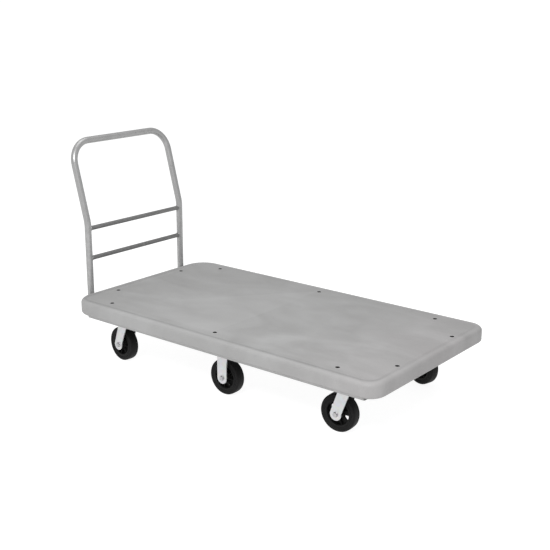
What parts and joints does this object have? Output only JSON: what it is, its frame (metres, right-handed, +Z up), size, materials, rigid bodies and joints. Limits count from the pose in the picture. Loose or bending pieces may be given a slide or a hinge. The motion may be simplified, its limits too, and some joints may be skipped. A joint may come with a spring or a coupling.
{
  "type": "platform cart",
  "caption": "Flat platform cart with a rounded moulded deck, swivel and fixed casters and a lift-out tube push handle at one end.",
  "frame": {"origin": "middle of the bounding box at floor level", "axes": "+X along the deck from the handle to the free end, +Y across the deck, +Z up"},
  "size_m": [1.6449, 0.8128, 0.9143],
  "materials": {
    "deck_plastic": "moulded, satin, faintly streaked",
    "frame_steel": "grey enamel",
    "tube_steel": "satin grey enamel",
    "bar_steel": "satin grey enamel, darker",
    "caster_zinc": "bright zinc plate",
    "fastener_zinc": "zinc plate",
    "bearing_steel": "polished",
    "core_black": "black, satin",
    "tyre_black": "hard black rubber, faint sheen",
    "bolt_dark": "blackened steel"
  },
  "bodies": {
    "chassis": {"deck_shell": "deck_plastic", "side_rail_near": "frame_steel", "side_rail_far": "frame_steel", "cross_channel_handle": "frame_steel", "cross_channel_mid": "frame_steel", "cross_channel_free": "frame_steel", "stringer_near": "frame_steel", "stringer_far": "frame_steel", "handle_beam": "frame_steel", "handle_socket_near": "frame_steel", "handle_socket_far": "frame_steel", "deck_bolts": "bolt_dark", "deck_nuts": "fastener_zinc", "caster_bolts": "fastener_zinc", "caster_nuts": "fastener_zinc", "swivel_plate_handle_near": "caster_zinc", "swivel_balls_handle_near": "bearing_steel", "kingpin_handle_near": "caster_zinc", "swivel_plate_handle_far": "caster_zinc", "swivel_balls_handle_far": "bearing_steel", "kingpin_handle_far": "caster_zinc", "swivel_plate_free_near": "caster_zinc", "swivel_balls_free_near": "bearing_steel", "kingpin_free_near": "caster_zinc", "swivel_plate_free_far": "caster_zinc", "swivel_balls_free_far": "bearing_steel", "kingpin_free_far": "caster_zinc", "rigid_fork_mid_near": "caster_zinc", "axle_mid_near": "fastener_zinc", "rigid_fork_mid_far": "caster_zinc", "axle_mid_far": "fastener_zinc"},
    "swivel_handle_near": {"swivel_fork_handle_near": "caster_zinc", "axle_handle_near": "fastener_zinc"},
    "wheel_handle_near": {"core_handle_near": "core_black", "tyre_handle_near": "tyre_black", "bearing_handle_near": "bearing_steel"},
    "swivel_handle_far": {"swivel_fork_handle_far": "caster_zinc", "axle_handle_far": "fastener_zinc"},
    "wheel_handle_far": {"core_handle_far": "core_black", "tyre_handle_far": "tyre_black", "bearing_handle_far": "bearing_steel"},
    "swivel_free_near": {"swivel_fork_free_near": "caster_zinc", "axle_free_near": "fastener_zinc"},
    "wheel_free_near": {"core_free_near": "core_black", "tyre_free_near": "tyre_black", "bearing_free_near": "bearing_steel"},
    "swivel_free_far": {"swivel_fork_free_far": "caster_zinc", "axle_free_far": "fastener_zinc"},
    "wheel_free_far": {"core_free_far": "core_black", "tyre_free_far": "tyre_black", "bearing_free_far": "bearing_steel"},
    "wheel_mid_near": {"core_mid_near": "core_black", "tyre_mid_near": "tyre_black", "bearing_mid_near": "bearing_steel"},
    "wheel_mid_far": {"core_mid_far": "core_black", "tyre_mid_far": "tyre_black", "bearing_mid_far": "bearing_steel"},
    "handle": {"handle_tube": "tube_steel", "crossbar_upper": "bar_steel", "crossbar_lower": "bar_steel"}
  },
  "joints": [
    {"name": "swivel_handle_near", "type": "hinge", "parent": "chassis", "child": "swivel_handle_near", "pos_m": [-0.48554, -0.283, 0.18], "axis": [0, 0, 1], "continuous": true},
    {"name": "roll_handle_near", "type": "hinge", "parent": "swivel_handle_near", "child": "wheel_handle_near", "pos_m": [-0.52137, -0.27955, 0.0725], "axis": [0.0958, 0.9954, 0], "continuous": true},
    {"name": "swivel_handle_far", "type": "hinge", "parent": "chassis", "child": "swivel_handle_far", "pos_m": [-0.48554, 0.283, 0.18], "axis": [0, 0, 1], "continuous": true},
    {"name": "roll_handle_far", "type": "hinge", "parent": "swivel_handle_far", "child": "wheel_handle_far", "pos_m": [-0.52154, 0.283, 0.0725], "axis": [0, 1, 0], "continuous": true},
    {"name": "swivel_free_near", "type": "hinge", "parent": "chassis", "child": "swivel_free_near", "pos_m": [0.63746, -0.283, 0.18], "axis": [0, 0, 1], "continuous": true},
    {"name": "roll_free_near", "type": "hinge", "parent": "swivel_free_near", "child": "wheel_free_near", "pos_m": [0.60151, -0.28488, 0.0725], "axis": [-0.0523, 0.9986, 0], "continuous": true},
    {"name": "swivel_free_far", "type": "hinge", "parent": "chassis", "child": "swivel_free_far", "pos_m": [0.63746, 0.283, 0.18], "axis": [0, 0, 1], "continuous": true},
    {"name": "roll_free_far", "type": "hinge", "parent": "swivel_free_far", "child": "wheel_free_far", "pos_m": [0.60253, 0.29171, 0.0725], "axis": [0.2419, 0.9703, 0], "continuous": true},
    {"name": "roll_mid_near", "type": "hinge", "parent": "chassis", "child": "wheel_mid_near", "pos_m": [0.06346, -0.283, 0.0725], "axis": [0, 1, 0], "continuous": true},
    {"name": "roll_mid_far", "type": "hinge", "parent": "chassis", "child": "wheel_mid_far", "pos_m": [0.06346, 0.283, 0.0725], "axis": [0, 1, 0], "continuous": true},
    {"name": "handle_lift", "type": "slide", "parent": "chassis", "child": "handle", "axis": [0, 0, 1], "range_m": [0, 0.08]}
  ]
}
